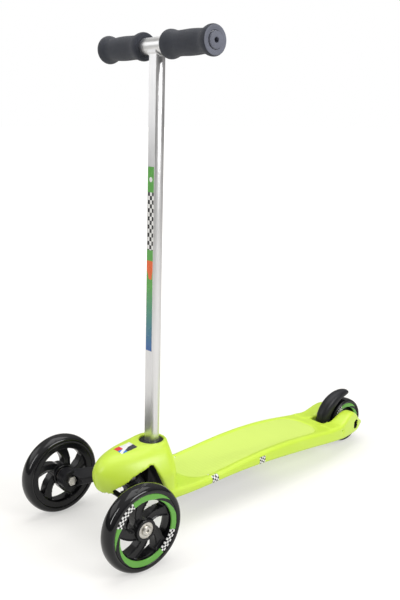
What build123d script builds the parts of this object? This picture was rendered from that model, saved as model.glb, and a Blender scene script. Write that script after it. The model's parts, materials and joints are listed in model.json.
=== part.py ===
"""Child's lean-to-steer kick scooter: two wheels in front, one wheel and a press-down brake behind.

Frame: +Z up, the scooter faces -Y, +X is the rider's left. The origin is on the ground under the
middle of the scooter. All sizes are in millimetres.
"""
import math
import os

from build123d import *

# Driving dimensions ---------------------------------------------------------
FRONT_WHEEL_R = 60.0
REAR_WHEEL_R = 40.0
WHEEL_WIDTH = 24.0
WHEELBASE = 534.0
FRONT_HALF_TRACK = 103.0
BAR_HEIGHT = 671.0
BAR_HALF_LENGTH = 116.0
BAR_R = 11.0
STEM_R = 10.7
STEM_FLAT = 7.5
STEM_WALL = 1.5
STEM_RAKE = 1.35
GRIP_R = 15.5
GRIP_LIP_R = 18.6
GRIP_FLANGE_R = 19.4
GRIP_INNER_END = 25.0
SKIN = 3.0
RUNNING = 0.04

# Places worked out from the driving dimensions --------------------------------
LENGTH = FRONT_WHEEL_R + WHEELBASE + REAR_WHEEL_R
FRONT_Y = FRONT_WHEEL_R - LENGTH / 2
REAR_Y = LENGTH / 2 - REAR_WHEEL_R
STEM_Y = FRONT_Y + 94.0
COLLAR_Z = 124.0
COLLAR_R = 18.0

# Standard 608 skate bearing and its M8 axle
BEARING_R = 11.0
BEARING_W = 7.0
AXLE_R = 4.0
HUB_R = 15.5
HUB_HALF = 11.0
BEARING_FACE = 10.0

# Inclined kingpins of the steering
KING_X = 26.0
KING_Y = FRONT_Y + 48.0
KING_Z = 77.0
KING_TILT = math.radians(35.0)
BARREL_R = 11.0
BARREL_HALF = 9.0
KING_R = 4.0
LUG_REACH = 27.0
PIN_R = 2.5
BOSS_INNER = 70.0
BOSS_OUTER = 88.0
BOSS_R = 14.0

# Brake lever hinge
HINGE_Y = REAR_Y - 52.0
HINGE_Z = 44.0
HINGE_R = 2.5
SLOT_HALF = 15.5
SLOT_FRONT = HINGE_Y - 19.0
LEVER_HALF = 13.0

TYRE_GAP = 4.5
LEVER_BARREL = 6.0
SPRING_POCKET = 8.5
SPRING_R = 4.6
SPRING_WIRE = 0.6
SPRING_PITCH = 1.5
SPRING_TURNS = 4
HINGE_RECESS = 24.0
FORK_RECESS = 22.0
RECESS_R = 8.0

# Truck cheeks, arms and tie rod
GAP = 0.3
CHEEK_T = 4.0
WEB_HALF = 12.0
LUG_R = 6.0
LUG_T = 7.0
ROD_GAP = 0.4
ROD_T = 5.0
BEAM_WIDTH = 20.0
BEAM_HEIGHT = 11.0
BEAM_SWELL = 6.0

# Wheels
FRONT_RIM = 50.0
FRONT_RIM_INNER = 42.0
REAR_RIM = 33.0
REAR_RIM_INNER = 26.0
SPOKE_HALF = 8.0
SLEEVE_R = 6.0

# Fasteners
BOLT_HEAD_R = 6.5
BOLT_HEAD_T = 3.5
AXLE_HEAD_T = 2.9
NUT_R = 7.2
NUT_T = 4.0
SCREW_R = 2.0
SCREW_HEAD_R = 3.8
SCREW_HEAD_T = 1.8
SCREW_LENGTH = 8.0

# Underside plates, stem socket and its bolt
PLATE_Z = 45.0
PLATE_T = 3.0
PLATE_HALF = 40.0
PLATE_FRONT = FRONT_Y + 140.0
PLATE_BACK = FRONT_Y + 320.0
FOOT_HALF = 20.0
FOOT_FRONT = KING_Y + 4.0
FOOT_BACK = STEM_Y + 36.0
FOOT_SCREWS = [(x, STEM_Y + y) for x in (-14, 14) for y in (-16, 28)]
PLATE_SCREWS = [(x, PLATE_FRONT + y) for x in (-32, 32) for y in (12, 90, 168)]
SOCKET_FLOOR = 70.0
SOCKET_TOP = 121.0
STEM_BOLT_R = 4.0
PLUG_LENGTH = 30.0

# Sticker on the flat front of the stem
DECAL_T = 0.2
DECAL_WIDTH = 14.2
DECAL_START = 186.0
DECAL_LENGTH = 257.0

os.makedirs("parts", exist_ok=True)


def save(piece, name):
    """Label a finished piece and write it under its node name."""
    piece.part.label = name
    export_step(piece.part, f"parts/{name}.step")


def across(x, y, z):
    """A plane that faces along +X, for pieces turned about the width of the scooter."""
    return Plane(origin=(x, y, z), x_dir=(0, 1, 0), z_dir=(1, 0, 0))


def slice_at(x, y, z):
    """A cross-section plane of the deck: its local x is the width and its local y is up."""
    return Plane(origin=(x, y, z), x_dir=(1, 0, 0), z_dir=(0, -1, 0))


def ring(x0, x1, y, z, outer, inner):
    """A round piece about an axis along X, from x0 to x1, with a bore through it."""
    with BuildPart() as piece:
        with BuildSketch(across(x0, y, z)):
            Circle(outer)
            if inner:
                Circle(inner, mode=Mode.SUBTRACT)
        extrude(amount=x1 - x0)
    return piece


# Deck: one moulding with the nose hood in front and the wheel fork behind ------
# Each deck station is (y, half width, underside z, top z).
DECK_STATIONS = (
    (FRONT_Y + 62, 49, 46, 62),
    (FRONT_Y + 107, 52, 45, 60),
    (FRONT_Y + 197, 52, 46, 59.5),
    (FRONT_Y + 287, 52, 45, 65.5),
    (FRONT_Y + 357, 52, 40.5, 64.5),
    (FRONT_Y + 417, 51, 35, 59),
    (FRONT_Y + 462, 49, 30, 54.5),
    (FRONT_Y + 475, 48, 28.8, 54.5),
)
DECK_CORNER = 5.5

# Each fork station is (y, outer x, underside z, top z); the inner face is the wheel slot.
FORK_STATIONS = (
    (REAR_Y - 84, 48.8, 32.4, 54.5),
    (REAR_Y - 62, 47.6, 29, 54.5),
    (REAR_Y - 42, 45, 26.5, 59),
    (REAR_Y - 25, 41, 25, 66),
    (REAR_Y - 9, 37, 24, 65.5),
    (REAR_Y + 6, 33, 24, 56),
    (REAR_Y + 20, 27.5, 26, 44),
    (REAR_Y + 32, 22.5, 30, 36),
)

# Each hood level is (z, half width, front y, back y).
HOOD_LEVELS = (
    (67, 34, FRONT_Y + 8, STEM_Y + 20),
    (74, 47, FRONT_Y, STEM_Y + 26),
    (84, 49, FRONT_Y - 3, STEM_Y + 26),
    (95, 45, FRONT_Y - 3.5, STEM_Y + 25),
    (106, 39.5, FRONT_Y + 1, STEM_Y + 23.5),
    (115, 33, FRONT_Y + 12, STEM_Y + 22.5),
    (121, 27, STEM_Y - 55, STEM_Y + 22),
    (COLLAR_Z, 23.5, STEM_Y - 32, STEM_Y + 21.5),
)
CAVITY_BACK = KING_Y + 23.0
ARCH_INNER = 22.0
HOOD_ROOT_Z = 50.0


def egg(z, half_width, front, back):
    """Outline of the hood at one level: half an ellipse forward and half an ellipse back."""
    with BuildSketch(Plane.XY.offset(z)) as outline:
        with BuildLine():
            EllipticalCenterArc((0, STEM_Y), half_width, STEM_Y - front, start_angle=180, arc_size=180)
            EllipticalCenterArc((0, STEM_Y), half_width, back - STEM_Y, start_angle=0, arc_size=180)
        make_face()
    return outline.sketch


with BuildPart() as hood:
    loft([egg(*level) for level in HOOD_LEVELS])

with BuildPart() as hood_root:
    with BuildSketch(Plane.XY.offset(HOOD_ROOT_Z)):
        add(egg(0, HOOD_LEVELS[1][1] + 2, *HOOD_LEVELS[1][2:]))
        with Locations((0, FRONT_Y - 140)):
            Rectangle(400, 400, mode=Mode.SUBTRACT)
    extrude(amount=HOOD_LEVELS[2][0] - HOOD_ROOT_Z)

with BuildPart() as cavity:
    levels = [(47, *HOOD_LEVELS[0][1:])] + list(HOOD_LEVELS[1:-1])
    loft([egg(z - SKIN, half - SKIN, front + SKIN, back - SKIN) for z, half, front, back in levels])
    with BuildSketch(Plane.XY):
        with Locations((0, CAVITY_BACK - 100)):
            Rectangle(200, 200)
    extrude(amount=200, mode=Mode.INTERSECT)

with BuildPart() as fork_arm:
    for y, outer, bottom, top in FORK_STATIONS:
        width, height = outer - SLOT_HALF, top - bottom
        with BuildSketch(slice_at((outer + SLOT_HALF) / 2, y, (bottom + top) / 2)):
            RectangleRounded(width, height, 0.4 * min(width, height, 2.5 * DECK_CORNER))
    loft()

with BuildPart() as deck:
    for y, half_width, bottom, top in DECK_STATIONS:
        with BuildSketch(slice_at(0, y, (bottom + top) / 2)):
            RectangleRounded(2 * half_width, top - bottom, DECK_CORNER)
    loft()
    add(hood.part)
    add(hood_root.part)
    add(fork_arm.part)
    add(mirror(fork_arm.part, about=Plane.YZ))
    add(cavity.part, mode=Mode.SUBTRACT)
    # Wheel arches: the steering arms come out of the hood on both sides
    with BuildSketch(Plane.YZ.offset(ARCH_INNER)):
        with BuildLine():
            Polyline(
                (FRONT_Y - 18, 30), (FRONT_Y - 18, 70), (FRONT_Y + 11, 76), (FRONT_Y + 36, 93),
                (FRONT_Y + 68, 104), (FRONT_Y + 80, 78), (FRONT_Y + 97, 44), (FRONT_Y + 97, 30),
                close=True,
            )
        make_face()
    arches = extrude(amount=60, mode=Mode.SUBTRACT)
    mirror(arches, about=Plane.YZ, mode=Mode.SUBTRACT)
    # Slot for the rear wheel and the brake lever
    with BuildSketch(Plane.XY):
        with Locations((0, (SLOT_FRONT + LENGTH) / 2)):
            Rectangle(2 * SLOT_HALF, LENGTH - SLOT_FRONT)
    extrude(amount=120, mode=Mode.SUBTRACT)
    # Socket for the stem foot, and the hole for the bolt that holds it from below
    with BuildSketch(Plane.XY.offset(SOCKET_FLOOR)):
        with Locations((0, STEM_Y)):
            Circle(COLLAR_R)
    extrude(amount=100, mode=Mode.SUBTRACT)
    with BuildSketch(Plane.XY):
        with Locations((0, STEM_Y)):
            Circle(STEM_BOLT_R)
    extrude(amount=SOCKET_FLOOR, mode=Mode.SUBTRACT)
    # Recess under the front for the foot of the truck, and under the middle for the stiffening plate
    with BuildSketch(Plane.XY.offset(PLATE_Z - PLATE_T)):
        with Locations((0, (FOOT_FRONT + FOOT_BACK) / 2)):
            Rectangle(2 * FOOT_HALF + 0.6, FOOT_BACK - FOOT_FRONT + 0.6)
        with Locations((0, (PLATE_FRONT + PLATE_BACK) / 2)):
            Rectangle(2 * PLATE_HALF + 0.6, PLATE_BACK - PLATE_FRONT + 0.6)
    extrude(amount=PLATE_T, mode=Mode.SUBTRACT)
    with BuildSketch(Plane.XY.offset(PLATE_Z)):
        with Locations(*FOOT_SCREWS, *PLATE_SCREWS):
            Circle(SCREW_R)
    extrude(amount=SCREW_LENGTH, mode=Mode.SUBTRACT)
    # Cross bores: brake hinge pin, rear axle and the recesses round the axle ends
    for y, z, radius in ((HINGE_Y, HINGE_Z, HINGE_R), (REAR_Y, REAR_WHEEL_R, AXLE_R)):
        with BuildSketch(across(-60, y, z)):
            Circle(radius)
        extrude(amount=120, mode=Mode.SUBTRACT)
    for side in (-1, 1):
        with BuildSketch(across(side * FORK_RECESS, REAR_Y, REAR_WHEEL_R)):
            Circle(RECESS_R)
        extrude(amount=side * 30, mode=Mode.SUBTRACT)
        with BuildSketch(across(side * HINGE_RECESS, HINGE_Y, HINGE_Z)):
            Circle(HINGE_R)
        extrude(amount=side * 30, mode=Mode.SUBTRACT)
save(deck, "deck")

# Underside: stiffening plate and the screws into the deck ----------------------
def countersinks(points):
    """The places of the screws' heads, level with the underside of the plates."""
    return [(x, y, PLATE_Z - PLATE_T) for x, y in points]


def screw_cone(mode):
    """One countersunk head, wide end down."""
    return Cone(
        SCREW_HEAD_R, SCREW_R, SCREW_HEAD_T, align=(Align.CENTER, Align.CENTER, Align.MIN), mode=mode
    )


with BuildPart() as underside_plate:
    with BuildSketch(Plane.XY.offset(PLATE_Z - PLATE_T)):
        with Locations((0, (PLATE_FRONT + PLATE_BACK) / 2)):
            RectangleRounded(2 * PLATE_HALF, PLATE_BACK - PLATE_FRONT, 6)
        with Locations(*PLATE_SCREWS):
            Circle(SCREW_R, mode=Mode.SUBTRACT)
    extrude(amount=PLATE_T)
    with Locations(*countersinks(PLATE_SCREWS)):
        screw_cone(Mode.SUBTRACT)
save(underside_plate, "underside_plate")


def screws(points):
    """Countersunk screws driven up into the deck, flush with the underside of the plate."""
    with BuildPart() as group:
        with BuildSketch(Plane.XY.offset(PLATE_Z - PLATE_T)):
            with Locations(*points):
                Circle(SCREW_R)
        extrude(amount=PLATE_T + SCREW_LENGTH - 1)
        with Locations(*countersinks(points)):
            screw_cone(Mode.ADD)
        with BuildSketch(Plane.XY.offset(PLATE_Z - PLATE_T)):
            with Locations(*points):
                Rectangle(4, 0.9)
                Rectangle(0.9, 4)
        extrude(amount=1.2, mode=Mode.SUBTRACT)
    return group


save(screws(PLATE_SCREWS), "plate_screws")
save(screws(FOOT_SCREWS), "truck_screws")

# Front truck: a cast bracket with two plates that hold the inclined kingpins ----
KING_PLANE = Plane(
    origin=(0, KING_Y, KING_Z),
    x_dir=(1, 0, 0),
    z_dir=(0, -math.sin(KING_TILT), math.cos(KING_TILT)),
)


def king_offset(distance):
    """The kingpin plane moved along the kingpins, up for a positive distance."""
    return KING_PLANE.offset(distance)


with BuildPart() as truck:
    for level in (-BARREL_HALF - GAP - CHEEK_T, BARREL_HALF + GAP):
        with BuildSketch(king_offset(level)):
            SlotOverall(2 * (KING_X + BARREL_R), 2 * BARREL_R)
        extrude(amount=CHEEK_T)
    with BuildSketch(king_offset(-BARREL_HALF - GAP)):
        RectangleRounded(2 * WEB_HALF, 2 * BARREL_R - 1, 3)
    extrude(amount=2 * (BARREL_HALF + GAP))
    # Foot under the deck, and the neck that joins it to the cheeks
    with BuildSketch(Plane.XY.offset(PLATE_Z - PLATE_T)):
        with Locations((0, (FOOT_FRONT + FOOT_BACK) / 2)):
            Rectangle(2 * FOOT_HALF, FOOT_BACK - FOOT_FRONT)
    extrude(amount=PLATE_T)
    with BuildSketch(Plane.YZ.offset(-WEB_HALF)):
        with BuildLine():
            Polyline(
                (FOOT_FRONT, PLATE_Z - PLATE_T), (KING_Y + 20, PLATE_Z - PLATE_T), (KING_Y + 20, KING_Z - 8),
                (KING_Y + 12, KING_Z + 8), (KING_Y - 4, KING_Z - 12), (FOOT_FRONT, PLATE_Z + 8),
                close=True,
            )
        make_face()
    extrude(amount=2 * WEB_HALF)
    with BuildSketch(king_offset(-40)):
        with Locations((-KING_X, 0), (KING_X, 0)):
            Circle(KING_R)
    extrude(amount=80, mode=Mode.SUBTRACT)
    with BuildSketch(Plane.XY):
        with Locations(*FOOT_SCREWS):
            Circle(SCREW_R)
        with Locations((0, STEM_Y)):
            Circle(STEM_BOLT_R)
    extrude(amount=PLATE_Z + 1, mode=Mode.SUBTRACT)
    with Locations(*countersinks(FOOT_SCREWS)):
        screw_cone(Mode.SUBTRACT)
save(truck, "truck_bracket")

STACK = BARREL_HALF + GAP + CHEEK_T
with BuildPart() as kingpins:
    with BuildSketch(king_offset(-STACK - NUT_T - 2)):
        with Locations((-KING_X, 0), (KING_X, 0)):
            Circle(KING_R)
    extrude(amount=2 * STACK + NUT_T + 2)
    with BuildSketch(king_offset(STACK)):
        with Locations((-KING_X, 0), (KING_X, 0)):
            Circle(BOLT_HEAD_R)
    extrude(amount=BOLT_HEAD_T)
    tops = kingpins.faces().filter_by(KING_PLANE).sort_by(Axis(KING_PLANE.origin, KING_PLANE.z_dir))[-2:]
    chamfer(tops.edges(), 0.8)
    with BuildSketch(king_offset(STACK + BOLT_HEAD_T - 2)):
        with Locations((-KING_X, 0), (KING_X, 0)):
            RegularPolygon(2.9, 6)
    extrude(amount=2, mode=Mode.SUBTRACT)
save(kingpins, "kingpins")

with BuildPart() as kingpin_nuts:
    with BuildSketch(king_offset(-STACK - NUT_T)):
        with Locations((-KING_X, 0), (KING_X, 0)):
            RegularPolygon(NUT_R, 6)
            Circle(KING_R, mode=Mode.SUBTRACT)
    extrude(amount=NUT_T)
save(kingpin_nuts, "kingpin_nuts")


# Steering arms: barrel on the kingpin, beam out to the axle boss, lug for the tie rod
def steering_arm(side):
    """The arm on one side; side is 1 for the rider's left and -1 for the right."""
    start = Vector(side * KING_X, KING_Y, KING_Z)
    end = Vector(side * (BOSS_INNER + 8), FRONT_Y, FRONT_WHEEL_R)
    along = (end - start).normalized()
    flat = along.cross(KING_PLANE.z_dir).normalized()
    with BuildPart() as arm:
        with BuildSketch(king_offset(-BARREL_HALF)):
            with Locations((side * KING_X, 0)):
                Circle(BARREL_R)
        extrude(amount=2 * BARREL_HALF)
        with BuildSketch(king_offset(-BARREL_HALF)):
            with Locations((side * KING_X, -LUG_REACH / 2)):
                SlotCenterToCenter(LUG_REACH, 2 * LUG_R, rotation=90)
        extrude(amount=LUG_T)
        for distance, swell in ((6, 0), ((end - start).length, BEAM_SWELL)):
            with BuildSketch(Plane(origin=start + along * distance, x_dir=flat, z_dir=along)):
                RectangleRounded(BEAM_WIDTH + swell / 2, BEAM_HEIGHT + swell, 3)
        loft(ruled=True)
        with BuildSketch(across(side * BOSS_INNER, FRONT_Y, FRONT_WHEEL_R)):
            Circle(BOSS_R)
        extrude(amount=side * (BOSS_OUTER - BOSS_INNER))
        with BuildSketch(king_offset(-40)):
            with Locations((side * KING_X, 0)):
                Circle(KING_R + RUNNING)
            with Locations((side * KING_X, -LUG_REACH)):
                Circle(PIN_R)
        extrude(amount=80, mode=Mode.SUBTRACT)
        with BuildSketch(across(side * 40, FRONT_Y, FRONT_WHEEL_R)):
            Circle(AXLE_R)
        extrude(amount=side * 60, mode=Mode.SUBTRACT)
        with BuildSketch(across(side * 45, FRONT_Y, FRONT_WHEEL_R)):
            Circle(NUT_R + 1.5)
        extrude(amount=side * (BOSS_INNER - 45), mode=Mode.SUBTRACT)
    return arm


def tie_rod_pin(side):
    """The pin that stands in an arm's lug and carries one end of the tie rod."""
    with BuildPart() as pin:
        with BuildSketch(king_offset(-BARREL_HALF)):
            with Locations((side * KING_X, -LUG_REACH)):
                Circle(PIN_R)
        extrude(amount=LUG_T + ROD_GAP + ROD_T + 3)
    return pin


with BuildPart() as tie_rod:
    with BuildSketch(king_offset(-BARREL_HALF + LUG_T + ROD_GAP)):
        with Locations((0, -LUG_REACH)):
            Rectangle(2 * KING_X, 7)
            with Locations((-KING_X, 0), (KING_X, 0)):
                Circle(LUG_R)
            with Locations((KING_X, 0)):
                Circle(PIN_R + RUNNING, mode=Mode.SUBTRACT)
            with Locations((-KING_X, 0)):
                Circle(PIN_R + 10 * RUNNING, mode=Mode.SUBTRACT)
    extrude(amount=ROD_T)
save(tie_rod, "tie_rod")


# Wheels ------------------------------------------------------------------------
def wheel_core(x, y, z, rim, rim_inner, spokes, spoke_width):
    """Moulded core with a hub for two bearings, a rim and slanted spokes between them."""
    with BuildPart() as core:
        with BuildSketch(across(x - HUB_HALF, y, z)):
            Circle(rim)
            Circle(rim_inner, mode=Mode.SUBTRACT)
            Circle(HUB_R)
        extrude(amount=2 * HUB_HALF)
        with BuildSketch(across(x - SPOKE_HALF, y, z)):
            with PolarLocations(0, spokes):
                with Locations(Location(((HUB_R + rim_inner) / 2, 0, 0), 18)):
                    Rectangle(rim_inner - HUB_R + 5, spoke_width)
        extrude(amount=2 * SPOKE_HALF)
        with BuildSketch(across(x - HUB_HALF, y, z)):
            Circle(BEARING_R - 2)
        extrude(amount=2 * HUB_HALF, mode=Mode.SUBTRACT)
        for face in (x - BEARING_FACE, x + BEARING_FACE):
            inward = BEARING_W if face < x else -BEARING_W
            with BuildSketch(across(face, y, z)):
                Circle(BEARING_R)
            extrude(amount=inward, mode=Mode.SUBTRACT)
            with BuildSketch(across(face, y, z)):
                Circle(BEARING_R)
            extrude(amount=-math.copysign(HUB_HALF - BEARING_FACE, inward), mode=Mode.SUBTRACT)
    return core


def tyre(x, y, z, radius, rim):
    """Cast tyre with a rounded tread round the rim."""
    half = WHEEL_WIDTH / 2
    shoulder = radius - 0.6 * (radius - rim)
    with BuildPart() as rubber:
        with BuildSketch(Plane(origin=(x, y, z), x_dir=(1, 0, 0), z_dir=(0, -1, 0))):
            with BuildLine():
                Polyline((half - 1, rim), (-half + 1, rim), (-half, rim + 1), (-half, shoulder))
                ThreePointArc((-half, shoulder), (0, radius), (half, shoulder))
                Polyline((half, shoulder), (half, rim + 1), (half - 1, rim))
            make_face()
        revolve(axis=Axis((x, y, z), (1, 0, 0)))
    return rubber


def bearings(x, y, z):
    """The two skate bearings of one wheel."""
    with BuildPart() as pair:
        for start in (x - BEARING_FACE, x + BEARING_FACE - BEARING_W):
            with BuildSketch(across(start, y, z)):
                Circle(BEARING_R)
                Circle(AXLE_R + RUNNING, mode=Mode.SUBTRACT)
            extrude(amount=BEARING_W)
        chamfer(pair.edges().filter_by(GeomType.CIRCLE).filter_by(lambda e: e.radius > 10), 0.4)
    return pair


def axle_bolt(x_head, x_end, y, z):
    """A button-head axle bolt from its head at x_head to its plain end at x_end."""
    outward = math.copysign(1, x_head - x_end)
    with BuildPart() as bolt:
        with BuildSketch(across(x_end, y, z)):
            Circle(AXLE_R)
        extrude(amount=x_head - x_end)
        with BuildSketch(across(x_head, y, z)):
            Circle(BOLT_HEAD_R)
        extrude(amount=outward * AXLE_HEAD_T)
        chamfer(bolt.faces().sort_by(Axis.X)[-1 if outward > 0 else 0].edges(), 1.2)
        with BuildSketch(across(x_head + outward * AXLE_HEAD_T, y, z)):
            RegularPolygon(2.9, 6)
        extrude(amount=-outward * 2, mode=Mode.SUBTRACT)
    return bolt


def hex_nut(x0, x1, y, z):
    """A hexagon nut on an axle, from x0 to x1."""
    with BuildPart() as nut:
        with BuildSketch(across(x0, y, z)):
            RegularPolygon(NUT_R, 6)
            Circle(AXLE_R, mode=Mode.SUBTRACT)
        extrude(amount=x1 - x0)
    return nut


for side, name in ((1, "left"), (-1, "right")):
    centre = side * FRONT_HALF_TRACK
    place = (FRONT_Y, FRONT_WHEEL_R)
    save(steering_arm(side), f"steering_arm_{name}")
    save(tie_rod_pin(side), f"tie_rod_pin_{name}")
    save(wheel_core(centre, *place, FRONT_RIM, FRONT_RIM_INNER, 5, 12), f"wheel_core_{name}")
    save(tyre(centre, *place, FRONT_WHEEL_R, FRONT_RIM), f"tyre_{name}")
    save(bearings(centre, *place), f"bearings_{name}")
    inner, outer = BEARING_FACE - BEARING_W - 0.1, FRONT_HALF_TRACK - BEARING_FACE - 0.1
    save(ring(centre - inner, centre + inner, *place, SLEEVE_R, AXLE_R + RUNNING), f"bearing_sleeve_{name}")
    save(ring(side * BOSS_OUTER, side * outer, *place, SLEEVE_R, AXLE_R), f"axle_spacer_{name}")
    head = side * (FRONT_HALF_TRACK + BEARING_FACE + 0.1)
    save(axle_bolt(head, side * (BOSS_INNER - NUT_T), *place), f"axle_bolt_{name}")
    save(hex_nut(side * (BOSS_INNER - NUT_T), side * BOSS_INNER, *place), f"axle_nut_{name}")

rear = (REAR_Y, REAR_WHEEL_R)
save(wheel_core(0, *rear, REAR_RIM, REAR_RIM_INNER, 5, 7), "wheel_core_rear")
save(tyre(0, *rear, REAR_WHEEL_R, REAR_RIM), "tyre_rear")
save(bearings(0, *rear), "bearings_rear")
gap = BEARING_FACE - BEARING_W - 0.1
save(ring(-gap, gap, *rear, SLEEVE_R, AXLE_R + RUNNING), "bearing_sleeve_rear")
save(axle_bolt(FORK_RECESS, -FORK_RECESS - NUT_T, *rear), "axle_bolt_rear")
save(hex_nut(-FORK_RECESS, -FORK_RECESS - NUT_T, *rear), "axle_nut_rear")
with BuildPart() as rear_spacers:
    for start in (-SLOT_HALF, BEARING_FACE + 0.1):
        with BuildSketch(across(start, *rear)):
            Circle(SLEEVE_R)
            Circle(AXLE_R, mode=Mode.SUBTRACT)
        extrude(amount=SLOT_HALF - BEARING_FACE - 0.1)
save(rear_spacers, "rear_axle_spacers")

# Brake lever, its hinge pin and its return spring --------------------------------
with BuildPart() as brake_lever:
    with BuildSketch(Plane.YZ.offset(-LEVER_HALF)):
        with BuildLine():
            Spline(
                (HINGE_Y - 13.5, 47), (HINGE_Y - 12.5, 61), (HINGE_Y - 3, 76.5), (HINGE_Y + 11, 89),
                (HINGE_Y + 28, 96.8), (HINGE_Y + 48, 98.5), (HINGE_Y + 66, 93.5),
            )
            Spline(
                (HINGE_Y + 66, 93.5), (HINGE_Y + 58, 90), (HINGE_Y + 45, 86), (HINGE_Y + 31, 79),
                (HINGE_Y + 21, 66), (HINGE_Y + 14, 52), (HINGE_Y + 9, 40),
            )
            Polyline((HINGE_Y + 9, 40), (HINGE_Y - 7, 37), (HINGE_Y - 13.5, 47))
        make_face()
    extrude(amount=2 * LEVER_HALF)
    # Room for the tyre under the lever, and pockets beside the hinge barrel for the spring
    with BuildSketch(across(-LEVER_HALF, *rear)):
        Circle(REAR_WHEEL_R + TYRE_GAP)
    extrude(amount=2 * LEVER_HALF, mode=Mode.SUBTRACT)
    for side in (-1, 1):
        with BuildSketch(across(side * LEVER_BARREL, HINGE_Y, HINGE_Z)):
            Circle(SPRING_POCKET)
        extrude(amount=side * 20, mode=Mode.SUBTRACT)
    with BuildSketch(across(-LEVER_HALF, HINGE_Y, HINGE_Z)):
        Circle(HINGE_R + RUNNING)
    extrude(amount=2 * LEVER_HALF, mode=Mode.SUBTRACT)
save(brake_lever, "brake_lever")
save(ring(-HINGE_RECESS, HINGE_RECESS, HINGE_Y, HINGE_Z, HINGE_R, 0), "brake_hinge_pin")

with BuildPart() as brake_spring:
    for side in (-1, 1):
        for turn in range(SPRING_TURNS):
            x = side * (LEVER_BARREL + 1.2 + turn * SPRING_PITCH)
            with BuildSketch(Plane(origin=(x, HINGE_Y, HINGE_Z), x_dir=(1, 0, 0), z_dir=(0, -1, 0))):
                with Locations((0, SPRING_R)):
                    Circle(SPRING_WIRE)
            revolve(axis=Axis((x, HINGE_Y, HINGE_Z), (1, 0, 0)))
save(brake_spring, "brake_springs")

# Stem, handlebar and grips --------------------------------------------------------
STEM_PLANE = Plane(
    origin=(0, STEM_Y, SOCKET_FLOOR + 2),
    x_dir=(1, 0, 0),
    z_dir=(0, math.sin(math.radians(STEM_RAKE)), math.cos(math.radians(STEM_RAKE))),
)
STEM_LENGTH = (BAR_HEIGHT - SOCKET_FLOOR - 2) / math.cos(math.radians(STEM_RAKE))
BAR_Y = STEM_Y + (BAR_HEIGHT - SOCKET_FLOOR - 2) * math.tan(math.radians(STEM_RAKE))


def stem_section(plane, radius, flat):
    """Round section with one flat facing forward."""
    with BuildSketch(plane) as section:
        Circle(radius)
        with Locations((0, -flat - radius)):
            Rectangle(4 * radius, 2 * radius, mode=Mode.SUBTRACT)
    return section.sketch


with BuildPart() as stem_socket:
    with BuildSketch(Plane.XY.offset(SOCKET_FLOOR)):
        with Locations((0, STEM_Y)):
            Circle(COLLAR_R)
    extrude(amount=SOCKET_TOP - SOCKET_FLOOR)
    extrude(stem_section(STEM_PLANE, STEM_R, STEM_FLAT), amount=80, mode=Mode.SUBTRACT)
    with BuildSketch(Plane.XY.offset(SOCKET_FLOOR)):
        with Locations((0, STEM_Y)):
            Circle(STEM_BOLT_R)
    extrude(amount=20, mode=Mode.SUBTRACT)
save(stem_socket, "stem_socket")

with BuildPart() as stem:
    extrude(stem_section(STEM_PLANE, STEM_R, STEM_FLAT), amount=STEM_LENGTH)
    extrude(
        stem_section(STEM_PLANE, STEM_R - STEM_WALL, STEM_FLAT - STEM_WALL),
        amount=STEM_LENGTH,
        mode=Mode.SUBTRACT,
    )
    with BuildSketch(across(-30, BAR_Y, BAR_HEIGHT)):
        Circle(BAR_R)
    extrude(amount=60, mode=Mode.SUBTRACT)
save(stem, "stem_tube")

with BuildPart() as stem_plug:
    extrude(stem_section(STEM_PLANE, STEM_R - STEM_WALL, STEM_FLAT - STEM_WALL), amount=PLUG_LENGTH)
    with BuildSketch(Plane.XY):
        with Locations((0, STEM_Y)):
            Circle(STEM_BOLT_R)
    extrude(amount=SOCKET_FLOOR + PLUG_LENGTH - 6, mode=Mode.SUBTRACT)
save(stem_plug, "stem_plug")

with BuildPart() as stem_bolt:
    with BuildSketch(Plane.XY.offset(PLATE_Z - PLATE_T)):
        with Locations((0, STEM_Y)):
            Circle(STEM_BOLT_R)
    extrude(amount=SOCKET_FLOOR + PLUG_LENGTH - 7 - PLATE_Z + PLATE_T)
    with BuildSketch(Plane.XY.offset(PLATE_Z - PLATE_T - BOLT_HEAD_T)):
        with Locations((0, STEM_Y)):
            RegularPolygon(NUT_R, 6)
    extrude(amount=BOLT_HEAD_T)
save(stem_bolt, "stem_bolt")

with BuildPart() as stem_decal:
    with BuildSketch(STEM_PLANE.offset(DECAL_START)):
        with Locations((0, -STEM_FLAT - DECAL_T / 2)):
            Rectangle(DECAL_WIDTH, DECAL_T)
    extrude(amount=DECAL_LENGTH)
save(stem_decal, "stem_decal")

save(ring(-BAR_HALF_LENGTH + 3, BAR_HALF_LENGTH - 3, BAR_Y, BAR_HEIGHT, BAR_R, BAR_R - STEM_WALL), "handlebar")

with BuildPart() as weld:
    extrude(stem_section(STEM_PLANE.offset(STEM_LENGTH - BAR_R - 4), STEM_R + 2, STEM_FLAT + 2), amount=BAR_R + 4)
    with BuildSketch(across(-30, BAR_Y, BAR_HEIGHT)):
        Circle(BAR_R + 2.2)
    extrude(amount=60, mode=Mode.INTERSECT)
    with BuildSketch(across(-30, BAR_Y, BAR_HEIGHT)):
        Circle(BAR_R)
    extrude(amount=60, mode=Mode.SUBTRACT)
    extrude(stem_section(STEM_PLANE, STEM_R, STEM_FLAT), amount=STEM_LENGTH, mode=Mode.SUBTRACT)
    with BuildSketch(Plane.XY.offset(BAR_HEIGHT)):
        Rectangle(2000, 2000)
    extrude(amount=60, mode=Mode.SUBTRACT)
save(weld, "weld_bead")


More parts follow.
